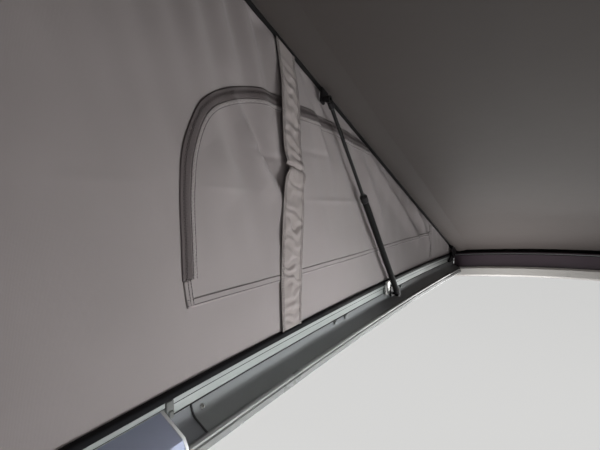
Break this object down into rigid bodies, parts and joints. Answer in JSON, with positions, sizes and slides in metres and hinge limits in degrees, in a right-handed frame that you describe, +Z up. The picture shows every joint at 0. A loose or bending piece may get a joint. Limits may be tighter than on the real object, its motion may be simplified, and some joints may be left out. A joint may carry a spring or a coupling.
{
  "type": "elevating roof of a camper van",
  "caption": "Rear-hinged elevating camper roof: base frame with trims, canvas walls with window flaps, gas springs, lined shell and hinges.",
  "frame": {"origin": "centre of the four corner bolts, level with the base flange's underside there", "axes": "+X to the vehicle's front, +Y to its left, +Z up"},
  "size_m": [2.6584, 1.452, 1.0983],
  "materials": {
    "rail": "satin anodised",
    "rubber": "matt black",
    "channel": "fine grain, dark grey",
    "lip": "light grey",
    "cover": "pale blue-grey, smooth",
    "canvas": "coated grey canvas",
    "strap": "grey canvas, double stitched",
    "clamp": "matt black",
    "shell": "orange gel coat",
    "headliner": "grey lining, slightly glossy",
    "bracket": "black",
    "latch": "black",
    "spring_cylinder": "black gloss",
    "spring_rod": "polished"
  },
  "bodies": {
    "frame": {"canvas_front": "canvas", "canvas_left": "canvas", "canvas_right": "canvas", "channel_left": "channel", "channel_right": "channel", "cover_left": "cover", "cover_right": "cover", "flap_left": "canvas", "flap_right": "canvas", "foot_bracket_left": "bracket", "foot_bracket_right": "bracket", "front_cover": "cover", "gasket_front": "rubber", "gasket_left": "rubber", "gasket_right": "rubber", "hinge_base_left": "bracket", "hinge_base_right": "bracket", "keeper_left": "bracket", "keeper_right": "bracket", "lip_left": "lip", "lip_right": "lip", "rail_front": "rail", "rail_left": "rail", "rail_rear": "rail", "rail_right": "rail", "rear_fairing": "shell", "rear_lip": "lip", "rear_seal": "rubber", "rear_trim": "channel", "strap_left": "strap", "strap_right": "strap", "trim_end_left": "channel", "trim_end_right": "channel"},
    "roof": {"canvas_rail_front": "clamp", "canvas_rail_left": "clamp", "canvas_rail_right": "clamp", "head_bracket_left": "bracket", "head_bracket_right": "bracket", "headliner": "headliner", "hinge_leaf_left": "bracket", "hinge_leaf_right": "bracket", "latch_left": "latch", "latch_right": "latch", "roof_seal_left": "rubber", "roof_seal_right": "rubber", "roof_shell": "shell"},
    "cylinder_left": {"spring_cylinder_left": "spring_cylinder"},
    "cylinder_right": {"spring_cylinder_right": "spring_cylinder"},
    "rod_left": {"spring_rod_left": "spring_rod"},
    "rod_right": {"spring_rod_right": "spring_rod"}
  },
  "joints": [
    {"name": "roof_lift", "type": "hinge", "parent": "frame", "child": "roof", "pos_m": [-1.153, 0, 0.03], "axis": [0, -1, 0], "range_deg": [-21.4, 0], "deforming": ["canvas_front", "canvas_left", "canvas_right", "flap_left", "flap_right", "strap_left", "strap_right"]},
    {"name": "spring_turn_left", "type": "hinge", "parent": "frame", "child": "cylinder_left", "pos_m": [-0.312, 0.612, 0.01471], "axis": [0, -1, 0], "range_deg": [-46.21, 0]},
    {"name": "spring_slide_left", "type": "slide", "parent": "cylinder_left", "child": "rod_left", "axis": [0.6532, 0, 0.7572], "range_m": [-0.14626, 0]},
    {"name": "spring_turn_right", "type": "hinge", "parent": "frame", "child": "cylinder_right", "pos_m": [-0.312, -0.612, 0.01471], "axis": [0, -1, 0], "range_deg": [-46.21, 0]},
    {"name": "spring_slide_right", "type": "slide", "parent": "cylinder_right", "child": "rod_right", "axis": [0.6532, 0, 0.7572], "range_m": [-0.14626, 0]}
  ],
  "couplings": [
    {"joint": "spring_turn_left", "follows": "roof_lift", "ratio": 2.157},
    {"joint": "spring_slide_left", "follows": "roof_lift", "m_per_rad": 0.39105},
    {"joint": "spring_turn_right", "follows": "roof_lift", "ratio": 2.157},
    {"joint": "spring_slide_right", "follows": "roof_lift", "m_per_rad": 0.39105}
  ]
}
